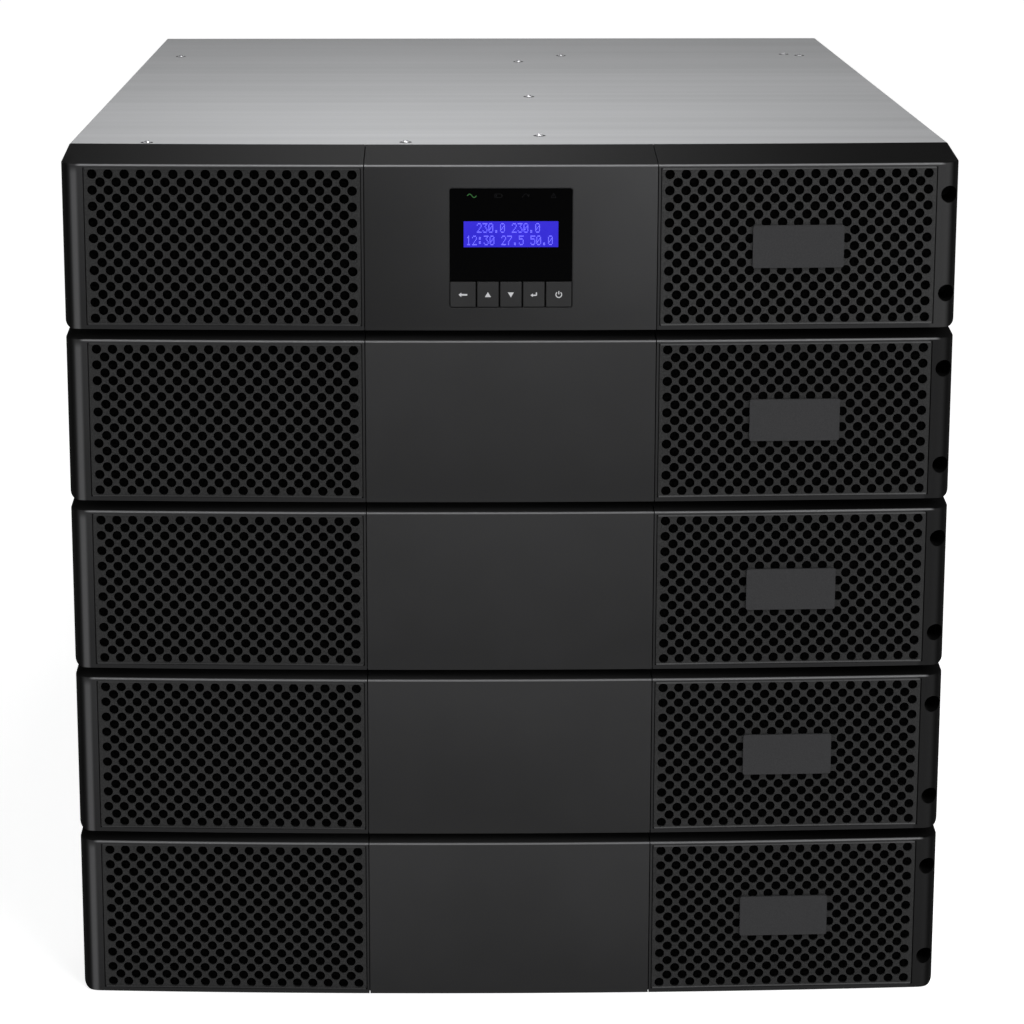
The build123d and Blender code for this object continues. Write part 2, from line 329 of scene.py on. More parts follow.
def blend(tree, factor, first, second, kind="FLOAT"):
    """A mix of two numbers or two colours, each given as a link or as a plain value."""
    node = add(tree, "ShaderNodeMix", data_type=kind)
    sockets, result = {"FLOAT": ((2, 3), 0), "RGBA": ((6, 7), 2)}[kind]
    tree.links.new(factor, node.inputs[0])
    for socket, value in zip(sockets, (first, second)):
        if isinstance(value, float):
            node.inputs[socket].default_value = value
        elif isinstance(value, tuple):
            node.inputs[socket].default_value = (*value, 1.0)
        else:
            tree.links.new(value, node.inputs[socket])
    return node.outputs[result]


def tint(tree, factor, first, second):
    """A mix of two colours."""
    return blend(tree, factor, first, second, "RGBA")


def axes_of(tree, vector):
    """The three parts of a vector, each as a number."""
    split = add(tree, "ShaderNodeSeparateXYZ")
    tree.links.new(vector, split.inputs["Vector"])
    return split.outputs["X"], split.outputs["Y"], split.outputs["Z"]


def object_axes(tree):
    """The three object coordinates, each as a number."""
    return axes_of(tree, add(tree, "ShaderNodeTexCoord").outputs["Object"])


def normal_axes(tree):
    """The three parts of the direction that a face looks in, each as a number."""
    return axes_of(tree, add(tree, "ShaderNodeNewGeometry").outputs["Normal"])


# Painted light and shade on a module's front

# The painted highlight along the ridge, a lighter and smoother band for the light that the rounded ridge
# catches: its height in a module, half its width, the share of that which is fully lit, where it ends and
# over what length, how smooth it is, and its grey
RIDGE_HEIGHT = 81.25 * MM
RIDGE_HALF_WIDTH = 0.55 * MM
RIDGE_CORE = 0.35
RIDGE_END = 212.0 * MM
RIDGE_FADE = 3.0 * MM
RIDGE_ROUGHNESS = 0.3
RIDGE_HIGHLIGHT_GREY = (0.168, 0.168, 0.172)
# The painted highlight on the left corner, which stands in for light from the left: its place from the
# middle, half its width, the share of that which is fully lit, where it fades to the back and to the top of
# a module, and its grey
CORNER_PLACE = 212.4 * MM
CORNER_HALF_WIDTH = 2.4 * MM
CORNER_CORE = 0.2
CORNER_BACK = (-288.0 * MM, -290.0 * MM)
CORNER_TOP = (81.0 * MM, 77.0 * MM)
CORNER_HIGHLIGHT_GREY = (0.090, 0.090, 0.092)
# The painted shade at both ends, a black strip where the corners turn away from the light: where it starts
# and is fully black from the middle, and where it fades to the back
FLANK_START = (212.8 * MM, 216.2 * MM)
FLANK_BACK = (-274.0 * MM, -288.0 * MM)
END_SHADE_BLACK = (0.002, 0.002, 0.002)
# The slope, painted with light in its middle and shade towards its ends, as if lit from above and the left:
# how far up its faces look, where it is palest, how far off it goes dark, and its two greys
SLOPE_UP = (0.75, 0.97)
SLOPE_PALEST = -45.0 * MM
SLOPE_REACH = 240.0 * MM
SLOPE_SHADE_DARK = (0.001, 0.001, 0.001)
SLOPE_LIT_GREY = (0.0205, 0.0205, 0.0208)
# The upright bar beyond each right insert, with painted shade on the modules below and painted light on the
# top module: where it starts, and its greys below and on the top module
STILE_START = (205.0 * MM, 207.0 * MM)
STILE_SHADED = (0.0088, 0.0088, 0.0090)
STILE_LIT = (0.0320, 0.0320, 0.0324)
# Painted light on the top module's front, which changes its level from left to right: half the height over
# which it begins, the two places across between which its level changes, and the levels there
TOP_MODULE_EDGE = 1.0 * MM
PANEL_ENDS = (-71.0 * MM, 71.0 * MM)
PANEL_LEVELS = (0.68, 1.50)
BEZEL_LEVELS = (1.0, 1.25)
INSERT_LEVELS = (1.0, 1.25)
# The shares of the plastic's own patches and of the painted light towards a module's top in its tone
PATCH_SHARE = 0.4
UPPER_LIGHT_SHARE = 0.6


def height_in_module(tree):
    """A point's height in its own module: its height in the stack, which starts again every module."""
    return maths(tree, "MODULO", object_axes(tree)[2], MODULE_HEIGHT)


def ridge_highlight(tree):
    """Mask of a painted highlight: 1 along the rounded ridge at the top of each module's front, and 0 a
    little
    above and below it: a smooth step of the distance from the ridge's height, ended before the corners."""
    level = maths(tree, "SUBTRACT", height_in_module(tree), RIDGE_HEIGHT)
    away = maths(tree, "ABSOLUTE", level)
    near = smooth_step(tree, away, RIDGE_HALF_WIDTH, RIDGE_CORE * RIDGE_HALF_WIDTH)
    across = maths(tree, "ABSOLUTE", object_axes(tree)[0])
    return maths(tree, "MULTIPLY", near, smooth_step(tree, across, RIDGE_END, RIDGE_END - RIDGE_FADE))


def corner_highlight(tree):
    """Mask of a painted highlight: 1 along the middle of the rounded upright corner at the left end, and 0 on
    either side of it, behind it and above the ridge."""
    x, y, _ = object_axes(tree)
    away = maths(tree, "ABSOLUTE", maths(tree, "ADD", x, CORNER_PLACE))
    near = smooth_step(tree, away, CORNER_HALF_WIDTH, CORNER_CORE * CORNER_HALF_WIDTH)
    near = maths(tree, "MULTIPLY", near, smooth_step(tree, y, *CORNER_BACK))
    return maths(tree, "MULTIPLY", near, smooth_step(tree, height_in_module(tree), *CORNER_TOP))


def end_shade(tree):
    """Mask of a painted shade: 1 on the outermost strip of the corners at both ends, where they turn away to
    the sides, and 0 on the front and on the sides."""
    x, y, _ = object_axes(tree)
    outer = smooth_step(tree, maths(tree, "ABSOLUTE", x), *FLANK_START)
    return maths(tree, "MULTIPLY", outer, smooth_step(tree, y, *FLANK_BACK))


def slope_light_mask(tree):
    """Mask of the painted light on the slope: 1 where the slope along the top of a module's front is palest,
    and
    0 towards its ends: a smooth step of the distance from that place."""
    away = maths(tree, "ABSOLUTE", maths(tree, "SUBTRACT", object_axes(tree)[0], SLOPE_PALEST))
    return smooth_step(tree, away, SLOPE_REACH, 0.0)


def upward(tree):
    """1 where a face looks up, and 0 where it is upright."""
    return smooth_step(tree, normal_axes(tree)[2], *SLOPE_UP)


def top_module(tree):
    """1 on the module at the top of the stack, and 0 below it."""
    start = len(BATTERIES) * MODULE_HEIGHT
    return smooth_step(tree, object_axes(tree)[2], start - TOP_MODULE_EDGE, start + TOP_MODULE_EDGE)


def painted_light_across(tree, colour, levels):
    """A colour whose level on the top module goes evenly from one to another across its panel: painted light.
    """
    level = span(tree, object_axes(tree)[0], *levels, *PANEL_ENDS)
    return scaled(tree, colour, blend(tree, top_module(tree), 1.0, level))


def painted_front_light(tree, colour, gloss, levels):
    """The colour and gloss of a module's front, with painted light and shade: lighter or darker from side to
    side on the top module; darker on the bar at the right below and lighter on the top module's; painted
    light and shade on its slope, which is also dull; painted black shade at its ends; and painted highlights
    on its left corner and ridge."""
    colour = painted_light_across(tree, colour, levels)
    # Painted shade on the bar at the right of the lower modules, and painted light on the top module's
    stile = smooth_step(tree, object_axes(tree)[0], *STILE_START)
    colour = tint(tree, stile, colour, tint(tree, top_module(tree), STILE_SHADED, STILE_LIT))
    ridge = ridge_highlight(tree)
    slope = upward(tree)
    end = end_shade(tree)
    # Painted light and shade on the slope: pale in its middle, dark towards its ends
    colour = tint(tree, slope, colour, tint(tree, slope_light_mask(tree), SLOPE_SHADE_DARK, SLOPE_LIT_GREY))
    # Painted shade: black where the ends turn away from the light
    colour = tint(tree, end, colour, END_SHADE_BLACK)
    # A painted highlight on the left corner
    colour = tint(tree, corner_highlight(tree), colour, CORNER_HIGHLIGHT_GREY)
    # A painted highlight along the ridge
    colour = tint(tree, ridge, colour, RIDGE_HIGHLIGHT_GREY)
    gloss = blend(tree, slope, gloss, 1.0)
    gloss = blend(tree, end, gloss, 1.0)
    gloss = blend(tree, ridge, gloss, RIDGE_ROUGHNESS)
    return colour, gloss


# Finishes

# How far a plastic's grain and a paint's swell change its gloss, and the dimmest part of a glow
GRAIN_GLOSS = 0.08
SWELL_GLOSS = 0.06
DIM_SHARE = 0.9


def grained_plastic(name, dark, light, roughness, grain_scale, grain_depth, specular, levels=None):
    """Moulded plastic: broad faint tone changes, and a fine spark-eroded grain in its relief and gloss.
    Levels are for a module's front, which also gets painted light towards its top and its own painted light
    and shade."""
    finish, tree, shader = new_finish(name, dark, roughness, specular=specular)
    shade = object_noise(tree, scale=18.0, detail=3.0)
    if levels:
        # Painted light: paler towards each module's top, as if lit from above
        rise = maths(tree, "DIVIDE", height_in_module(tree), MODULE_HEIGHT)
        shade = weighted(tree, (shade, PATCH_SHARE), (rise, UPPER_LIGHT_SHARE))
    colour = ramp(tree, shade, dark, light, start=0.25, end=0.75)
    grain = object_noise(tree, grain_scale)
    gloss = span(tree, grain, roughness - GRAIN_GLOSS, roughness + GRAIN_GLOSS)
    if levels:
        colour, gloss = painted_front_light(tree, colour, gloss, levels)
    tree.links.new(colour, shader.inputs["Base Color"])
    tree.links.new(gloss, shader.inputs["Roughness"])
    bump(tree, shader, grain, strength=0.35, distance=grain_depth)
    return finish


def powder_coat(name, dark, light, roughness, specular, levels=None):
    """Baked powder paint: tiny rounded lumps, and a wider orange-peel swell in its gloss. Levels are painted
    light across the top module's front."""
    finish, tree, shader = new_finish(name, dark, roughness, specular=specular)
    lumps = object_noise(tree, scale=1500.0)
    colour = ramp(tree, lumps, dark, light, start=0.35, end=0.75)
    if levels:
        colour = painted_light_across(tree, colour, levels)
    tree.links.new(colour, shader.inputs["Base Color"])
    swell = object_noise(tree, scale=260.0, detail=1.0)
    gloss = span(tree, swell, roughness - SWELL_GLOSS, roughness + SWELL_GLOSS)
    tree.links.new(gloss, shader.inputs["Roughness"])
    bump(tree, shader, lumps, strength=0.4, distance=0.08 * MM)
    return finish


def rolled(tree, along, across, detail):
    """Noise drawn out into lines, from side to side on the top and from front to back on the sides."""
    sideways = maths(tree, "ABSOLUTE", normal_axes(tree)[0])
    top = object_noise(tree, 1.0, detail, stretch=(along, across, across))
    sides = object_noise(tree, 1.0, detail, stretch=(across, along, across))
    return blend(tree, sideways, top, sides)


def coated_steel(name, dark, light):
    """Zinc-coated sheet: fine lines and wider bands across the top and along the sides, and faint patches."""
    finish, tree, shader = new_finish(name, light, roughness=0.5, metallic=0.3, specular=0.3)
    lines = rolled(tree, along=3, across=900, detail=3.0)
    bands = rolled(tree, along=1.2, across=75, detail=2.0)
    patches = object_noise(tree, scale=6.0, detail=3.0)
    shade = weighted(tree, (lines, 0.30), (bands, 0.45), (patches, 0.25))
    tree.links.new(ramp(tree, shade, dark, light, start=0.35, end=0.65), shader.inputs["Base Color"])
    tree.links.new(span(tree, lines, low=0.50, high=0.66), shader.inputs["Roughness"])
    bump(tree, shader, lines, strength=0.12, distance=0.05 * MM)
    return finish


def lit_screen(name, dark, light):
    """A backlit screen: a glow with faint broad changes of level."""
    finish, tree, shader = new_finish(name, (0.01, 0.01, 0.05), roughness=0.25, specular=0.1)
    glow = object_noise(tree, scale=60.0)
    tree.links.new(ramp(tree, glow, dark, light), shader.inputs["Emission Color"])
    shader.inputs["Emission Strength"].default_value = 1.0
    return finish


def glowing(name, colour, strength, specular=0.2):
    """A printed or lit mark: its own colour, with a little glow, slightly uneven. On print that is no lamp,
    the glow is painted light.
    """
    finish, tree, shader = new_finish(name, colour, roughness=0.4, specular=specular)
    speckle = object_noise(tree, scale=900.0)
    dim = tuple(DIM_SHARE * channel for channel in colour)
    colours = ramp(tree, speckle, dim, colour)
    tree.links.new(colours, shader.inputs["Base Color"])
    tree.links.new(colours, shader.inputs["Emission Color"])
    shader.inputs["Emission Strength"].default_value = strength
    return finish


def polished_black(name, colour):
    """A dark polished window, with the faintest waviness in its gloss."""
    finish, tree, shader = new_finish(name, colour, roughness=0.08, specular=0.015)
    wave = object_noise(tree, scale=35.0)
    tree.links.new(span(tree, wave, low=0.05, high=0.12), shader.inputs["Roughness"])
    return finish


def plated_steel(name, dark, light):
    """Plated screw heads: pale metal with fine uneven gloss."""
    finish, tree, shader = new_finish(name, light, roughness=0.3, metallic=1.0)
    mottle = object_noise(tree, scale=1200.0)
    tree.links.new(ramp(tree, mottle, dark, light), shader.inputs["Base Color"])
    tree.links.new(span(tree, mottle, low=0.22, high=0.42), shader.inputs["Roughness"])
    return finish


def highlighted_edge(name, left, right, places):
    """An edge with a painted highlight, paler to the right where more light falls, between two places across,
    with fine uneven tone.
    """
    finish, tree, shader = new_finish(name, left, roughness=0.45, specular=0.1)
    edge_noise = object_noise(tree, scale=700.0)
    colour = tint(tree, smooth_step(tree, object_axes(tree)[0], *places), left, right)
    edge_level = span(tree, edge_noise, low=0.8, high=1.2)
    tree.links.new(scaled(tree, colour, edge_level), shader.inputs["Base Color"])
    return finish


def open_foam(name, dark, light):
    """Black open-cell foam: round cells, with dull walls between them."""
    finish, tree, shader = new_finish(name, dark, roughness=1.0, specular=0.0)
    place = add(tree, "ShaderNodeTexCoord")
    cells = add(tree, "ShaderNodeTexVoronoi", Scale=900.0)
    tree.links.new(place.outputs["Object"], cells.inputs["Vector"])
    distance = cells.outputs["Distance"]
    tree.links.new(ramp(tree, distance, dark, light), shader.inputs["Base Color"])
    bump(tree, shader, distance, strength=0.6, distance=0.3 * MM)
    return finish


BEZEL = grained_plastic(
    "bezel_plastic", dark=(0.0177, 0.0177, 0.0182), light=(0.0288, 0.0288, 0.0295), roughness=0.5,
    grain_scale=2400.0, grain_depth=0.05 * MM, specular=0.08, levels=BEZEL_LEVELS)
PANEL = grained_plastic(
    "panel_plastic", dark=(0.0212, 0.0212, 0.0217), light=(0.0343, 0.0343, 0.0351), roughness=0.46,
    grain_scale=3000.0, grain_depth=0.02 * MM, specular=0.08, levels=PANEL_LEVELS)
CONNECTOR = grained_plastic(
    "connector_plastic", dark=(0.010, 0.010, 0.010), light=(0.014, 0.014, 0.014), roughness=0.5,
    grain_scale=1800.0, grain_depth=0.05 * MM, specular=0.4)
KEY = grained_plastic(
    "key_rubber", dark=(0.020, 0.020, 0.0205), light=(0.031, 0.031, 0.0315), roughness=0.6,
    grain_scale=1400.0, grain_depth=0.06 * MM, specular=0.10)
GRILLE = powder_coat(
    "grille_steel", dark=(0.0181, 0.0181, 0.0183), light=(0.0358, 0.0358, 0.0358), roughness=0.5,
    specular=0.10, levels=INSERT_LEVELS)
BADGE = powder_coat(
    "badge_metal", dark=(0.030, 0.030, 0.0314), light=(0.0377, 0.0377, 0.0394), roughness=0.42, specular=0.12)
CHASSIS = powder_coat(
    "chassis_paint", dark=(0.006, 0.006, 0.0063), light=(0.010, 0.010, 0.0103), roughness=0.55, specular=0.3)
# A painted highlight along the upper and lower edges of the inserts
EDGE = highlighted_edge(
    "insert_edge", left=(0.036, 0.036, 0.0365), right=(0.078, 0.078, 0.079), places=(-90.0 * MM, 120.0 * MM))
COVER = coated_steel("cover_steel", dark=(0.308, 0.311, 0.318), light=(0.372, 0.375, 0.384))
SCREW = plated_steel("screw_steel", dark=(0.55, 0.55, 0.57), light=(0.75, 0.75, 0.77))
# Black foam, dark enough to also paint the shade seen through the holes
FOAM = open_foam("filter_foam", dark=(0.0006, 0.0006, 0.0006), light=(0.0022, 0.0022, 0.0022))
WINDOW = polished_black("window_gloss", colour=(0.0005, 0.0005, 0.0006))
SCREEN = lit_screen("lcd_blue", dark=(0.018, 0.009, 0.58), light=(0.031, 0.017, 0.69))
# The key print and the unlit marks glow a little though they are no lamps: painted light
PRINT = glowing("white_print", colour=(0.50, 0.50, 0.515), strength=0.25)
DIM_PRINT = glowing("dim_print", colour=(0.005, 0.005, 0.0055), strength=0.1, specular=0.03)
GREEN = glowing("green_light", colour=(0.019, 0.070, 0.020), strength=0.8, specular=0.1)
CHARACTER = glowing("screen_characters", colour=(0.13, 0.12, 0.84), strength=0.9)

FINISH_BY_SLOT = {
    "bezel_plastic": BEZEL,
    "panel_plastic": PANEL,
    "grille_steel": GRILLE,
    "badge_metal": BADGE,
    "cover_steel": COVER,
    "chassis_paint": CHASSIS,
    "connector_plastic": CONNECTOR,
    "window_gloss": WINDOW,
    "lcd_blue": SCREEN,
    "key_rubber": KEY,
}


def finish_nodes():
    """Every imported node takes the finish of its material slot."""
    slots = {part["node"]: part["material_slot"] for part in frame["record"]["subparts"]}
    for name, thing in frame["nodes"].items():
        thing.data.materials.clear()
        thing.data.materials.append(FINISH_BY_SLOT[slots[name]])


finish_nodes()


# Screws on the covers

SCREW_RADIUS = 3.0 * MM
SCREW_HEIGHT = 0.7 * MM
TOP_SCREW_RADIUS = 1.8 * MM
TOP_SCREW_HEIGHT = 1.0 * MM
# The dark rings round the top screws are painted shade
SHADE_RING_RADIUS = 3.1 * MM
SHADE_RING_HEIGHT = 0.12 * MM
# Across from the middle and back from the front of the bow, as the photograph shows them
TOP_SCREWS_MM = [
    (-180.5, 50.5), (-51.6, 50.5), (16.0, 76.0), (15.5, 254.0), (14.3, 451.0),
    (42.4, 489.0), (-199.5, 486.0), (185.4, 497.0), (194.5, 489.0),
]
SIDE_SCREWS_BACK_MM = (80.0, 240.0, 400.0, 560.0)
SIDE_SCREW_RISE = 22.0 * MM
# How far each screw is turned on from the one before it, in radians
TOP_TURN = 0.7
LEFT_TURN = 0.9
RIGHT_TURN = 1.3

cad_low, cad_high = (np.array(corner) for corner in cad_box)
TOP_SCREW_PLACES = [(x * MM, cad_low[1] + back * MM, cad_high[2]) for x, back in TOP_SCREWS_MM]


def cover_screws():
    """Button heads on the top cover, and four flatter ones along each side of every module."""
    shells = []
    for number, place in enumerate(TOP_SCREW_PLACES):
        shells.append(screw(place, TOP, TOP_SCREW_RADIUS, TOP_SCREW_HEIGHT, TOP_TURN * number, power=2))
    for module in MODULES:
        low, high = corners(f"{module}_cover")
        z = low[2] + SIDE_SCREW_RISE
        for number, back in enumerate(SIDE_SCREWS_BACK_MM):
            y = cad_low[1] + back * MM
            shells.append(screw((low[0], y, z), LEFT, SCREW_RADIUS, SCREW_HEIGHT, LEFT_TURN * number))
            shells.append(screw((high[0], y, z), RIGHT, SCREW_RADIUS, SCREW_HEIGHT, RIGHT_TURN * number))
    return piece("cover_screws", shells, SCREW)


def screw_shade_rings():
    """A thin dark ring round each screw on the top cover, a painted shade round its head: a flat band along a
    circle.
    """
    ring = circle((TOP_SCREW_RADIUS + SHADE_RING_RADIUS) / 2)
    width = SHADE_RING_RADIUS - TOP_SCREW_RADIUS
    shells = [ribbon(ring, width, SHADE_RING_HEIGHT, place, TOP, closed=True) for place in TOP_SCREW_PLACES]
    return piece("screw_shade_rings", shells, CHASSIS)


cover_screws()
screw_shade_rings()


# Figures on the screen

MARK_HEIGHT = 0.05 * MM
# Each plain figure is seven rows of five dots, from the top, one binary number a row
FIGURES = {
    "0": (14, 17, 19, 21, 25, 17, 14),
    "1": (4, 12, 4, 4, 4, 4, 14),
    "2": (14, 17, 1, 2, 4, 8, 31),
    "3": (31, 2, 4, 2, 1, 17, 14),
    "5": (31, 16, 30, 1, 1, 17, 14),
    "7": (31, 1, 2, 4, 8, 8, 8),
    ".": (0, 0, 0, 0, 0, 12, 12),
    ":": (0, 12, 12, 0, 12, 12, 0),
    " ": (0, 0, 0, 0, 0, 0, 0),
}
DOT_BITS = np.arange(4, -1, -1)
MIDDLE_ROW = 3
# How far a figure's first column is left of its start, in dots
COLUMN_START = 0.5
# Each line's figures, its start in figures from the left edge, and its height from the screen's middle
SCREEN_LINES = ((" 230.0 230.0", 1.4, 3.1 * MM), ("12:30 27.5 50.0", 0.6, -3.0 * MM))
FIGURE_PITCH = 2.84 * MM
DOT_PITCH = (0.472 * MM, 0.69 * MM)
DOT_SIZE = (0.41 * MM, 0.60 * MM)
DOT_CORNER = 0.08 * MM


def face_of(node):
    """The middle of a node's front face."""
    low, high = corners(node)
    return np.array([(low[0] + high[0]) / 2, low[1], (low[2] + high[2]) / 2])


def screen_figures():
    """Two lines of plain figures: a small raised block for each lit dot of each figure."""
    low, high = corners("lcd_screen")
    left = (low[0] - high[0]) / 2
    spots = []
    for text, start, height in SCREEN_LINES:
        rows = np.array([FIGURES[letter] for letter in text])
        lit = rows[:, :, None] >> DOT_BITS & 1
        letter, row, column = np.nonzero(lit)
        x = left + (start + letter) * FIGURE_PITCH + (column - COLUMN_START) * DOT_PITCH[0]
        z = height + (MIDDLE_ROW - row) * DOT_PITCH[1]
        spots.append(np.stack([x, np.zeros_like(x), z], 1))
    dot = slab(rounded(*DOT_SIZE, DOT_CORNER, count=2), MARK_HEIGHT, face_of("lcd_screen"), FRONT)
    return piece("screen_figures", [copies(dot, np.vstack(spots))], CHARACTER, smooth=False)


screen_figures()


# Signs along the top of the window

# How far the signs are below the window's upper edge, their places across, and their strokes
SIGN_DROP = 3.3 * MM
WAVE_PLACE = -19.0 * MM
CELL_PLACE = -6.3 * MM
BEND_PLACE = 7.2 * MM
TRIANGLE_PLACE = 20.6 * MM
WAVE_STROKE = 0.42 * MM
SIGN_STROKE = 0.30 * MM
TRIANGLE_STROKE = 0.28 * MM
# The wave: half its length, and how far it rises
WAVE_REACH = 2.2 * MM
WAVE_RISE = 0.85 * MM
# The cell: width, height and corner of its outline, tip and bar, and the places of the last two
CELL_OUTLINE = (3.4 * MM, 1.7 * MM, 0.25 * MM)
CELL_TIP = (0.4 * MM, 0.8 * MM, 0.1 * MM)
CELL_BAR = (0.7 * MM, 0.9 * MM, 0.1 * MM)
CELL_TIP_OFFSET = 2.1 * MM
CELL_BAR_OFFSET = -0.9 * MM
# The bent arrow: where its line starts, its arc's radius and angles, how far that is below the middle, its
# head's three corners, and how far to the right the head is
BEND_START = (-1.9 * MM, -0.8 * MM)
BEND_ARC = (1.1 * MM, 165, 30)
BEND_DROP = 0.2 * MM
BEND_HEAD = np.array([(0.35, 0.35), (1.6, 0.55), (1.15, -0.85)]) * MM
BEND_HEAD_OFFSET = 0.2 * MM
# The triangle: its three corners, and width, height and corner of the bar in it
TRIANGLE = np.array([(-1.25, -0.95), (1.25, -0.95), (0.0, 1.15)]) * MM
TRIANGLE_BAR = (0.26 * MM, 0.8 * MM, 0.1 * MM)


def sign_place(x):
    """A point on the window's front, in line with the signs."""
    low, high = corners("display_window")
    return np.array([x, low[1], high[2] - SIGN_DROP])


def wave_sign():
    """One turn of a sine wave, as a band."""
    turn = np.linspace(-pi, pi, num=40)
    wave = np.stack([WAVE_REACH * turn / pi, WAVE_RISE * np.sin(-turn)], 1)
    return [ribbon(wave, WAVE_STROKE, MARK_HEIGHT, sign_place(WAVE_PLACE), FRONT)]


def cell_sign():
    """A battery: a band round a rounded rectangle, with small blocks for its tip and its charge."""
    place = sign_place(CELL_PLACE)
    outline = ribbon(rounded(*CELL_OUTLINE), SIGN_STROKE, MARK_HEIGHT, place, FRONT, closed=True)
    blocks = ((CELL_TIP, CELL_TIP_OFFSET), (CELL_BAR, CELL_BAR_OFFSET))
    return [outline] + [
        slab(rounded(*size, count=3), MARK_HEIGHT, sign_place(CELL_PLACE + offset), FRONT)
        for size, offset in blocks
    ]


def bend_sign():
    """A bent arrow: a band along a short straight line and an arc, with a flat triangle at its end."""
    line = np.vstack([[BEND_START], arc(*BEND_ARC, count=20) - (0, BEND_DROP)])
    band = ribbon(line, SIGN_STROKE, MARK_HEIGHT, sign_place(BEND_PLACE), FRONT)
    return [band, slab(BEND_HEAD, MARK_HEIGHT, sign_place(BEND_PLACE + BEND_HEAD_OFFSET), FRONT)]


def triangle_sign():
    """A warning triangle: a band along its three edges, with an upright bar in its middle."""
    ahead = np.roll(TRIANGLE, -1, axis=0)
    edges = [np.linspace(start, end, num=8, endpoint=False) for start, end in zip(TRIANGLE, ahead)]
    place = sign_place(TRIANGLE_PLACE)
    band = ribbon(np.vstack(edges), TRIANGLE_STROKE, MARK_HEIGHT, place, FRONT, closed=True)
    return [band, slab(rounded(*TRIANGLE_BAR, count=3), MARK_HEIGHT, place, FRONT)]


piece("running_light", wave_sign(), GREEN)
piece("unlit_marks", cell_sign() + bend_sign() + triangle_sign(), DIM_PRINT)


# Printing on the keys, drawn in units

MARK_UNIT = 0.85 * MM
# How far the printing is below the middle of a key
MARK_DROP = 0.1 * MM
BACK_HEAD = ((-2.5, 0.0), (-0.9, 1.3), (-0.9, -1.3))
BACK_SHAFT = np.linspace((-1.0, 0.0), (2.5, 0.0), num=6)
BACK_STROKE = 0.95
UP_TRIANGLE = np.array([(-1.75, -1.35), (1.75, -1.35), (0.0, 1.55)])
DOWN_TRIANGLE = UP_TRIANGLE * (1, -1)
ENTER_HEAD = ((-1.9, -0.35), (-0.5, 0.75), (-0.5, -1.45))
ENTER_STEM = ((-0.6, -0.35), (0.6, -0.35), (1.35, -0.35), (1.5, -0.2), (1.5, 0.4), (1.5, 1.3))
ENTER_STROKE = 0.7
POWER_RING = arc(radius=1.65, start=128, end=412, count=48)
POWER_BAR = np.linspace((0.0, 0.2), (0.0, 2.1), num=6)
POWER_STROKE = 0.55
# The flat shapes of each key's mark, and its lines with their widths
KEY_SHAPES = {
    "back_key": [BACK_HEAD],
    "up_key": [UP_TRIANGLE],
    "down_key": [DOWN_TRIANGLE],
    "enter_key": [ENTER_HEAD],
}
KEY_LINES = {
    "back_key": [(BACK_SHAFT, BACK_STROKE)],
    "enter_key": [(ENTER_STEM, ENTER_STROKE)],
    "power_key": [(POWER_RING, POWER_STROKE), (POWER_BAR, POWER_STROKE)],
}


def key_mark(node):
    """White printing on a key, which moves with it: flat shapes, and bands along lines."""
    place = face_of(node) - (0, 0, MARK_DROP)
    shells = []
    for shape in KEY_SHAPES.get(node, []):
        shells.append(slab(np.array(shape) * MARK_UNIT, MARK_HEIGHT, place, FRONT))
    for line, stroke in KEY_LINES.get(node, []):
        shells.append(ribbon(np.array(line) * MARK_UNIT, stroke * MARK_UNIT, MARK_HEIGHT, place, FRONT))
    return piece(f"{node}_mark", shells, PRINT, body=f"{node}_body", smooth=False)


for key in KEYS:
    key_mark(key)


# Dust filters behind the perforated inserts, also a painted shade in the holes, and a bead with a painted
# highlight along their upper and lower edges

INSERT_THICKNESS = 1.2 * MM
FILTER_SIZE = (132.6 * MM, 75.0 * MM)
FILTER_CORNER = 1.0 * MM
FILTER_THICKNESS = 2.0 * MM
FILTER_BEHIND = 0.8 * MM
BEAD_LENGTH = 133.6 * MM
BEAD_WIDTH = 0.8 * MM
BEAD_CORNER = 0.2 * MM
BEAD_HEIGHT = 0.26 * MM
# How far the middle of a bead is outside the insert's own edge
BEAD_OUT = 0.05 * MM


def insert_planes():
    """The middle and height of each insert, and the directions right, up and out of its leaning sheet."""
    for module in MODULES:
        for side, name in ((-1, "left"), (1, "right")):
            low, high = corners(f"{module}_{name}_grille")
            tilt = np.arctan2(high[1] - low[1] - INSERT_THICKNESS, high[0] - low[0])
            right = (np.cos(tilt), side * np.sin(tilt), 0)
            out = (side * np.sin(tilt), -np.cos(tilt), 0)
            yield (low + high) / 2, high[2] - low[2], (right, (0, 0, 1), out)


def dust_filters():
    """A sheet of foam behind each insert, in line with it, whose near-black also paints the shade seen
    through
    the holes: a rounded rectangle raised by its thickness.
    """
    outline = rounded(*FILTER_SIZE, FILTER_CORNER)
    shells = []
    for middle, _, side in insert_planes():
        centre = middle - np.array(side[2]) * (FILTER_BEHIND + FILTER_THICKNESS)
        shells.append(slab(outline, FILTER_THICKNESS, centre, side))
    return piece("dust_filters", shells, FOAM)


def insert_beads():
    """A flat bead along each insert's upper and lower edge, coloured as a painted highlight: a rounded
    rectangle raised by its height.
    """
    outline = rounded(BEAD_LENGTH, BEAD_WIDTH, BEAD_CORNER, count=3)
    shells = []
    for middle, height, side in insert_planes():
        face = middle + np.array(side[2]) * INSERT_THICKNESS / 2
        for up in (-1, 1):
            centre = face + np.array([0, 0, up * (height / 2 + BEAD_OUT)])
            shells.append(slab(outline, BEAD_HEIGHT, centre, side))
    return piece("insert_beads", shells, EDGE)


dust_filters()
insert_beads()


# Sealing strips in the seams of the bezels

SEAM_PLACE = 71.4 * MM
STRIP_WIDTH = 0.44 * MM
STRIP_CORNER = 0.1 * MM
STRIP_THICKNESS = 1.0 * MM
STRIP_BEHIND = 5.0 * MM
STRIP_TOP = 78.0 * MM


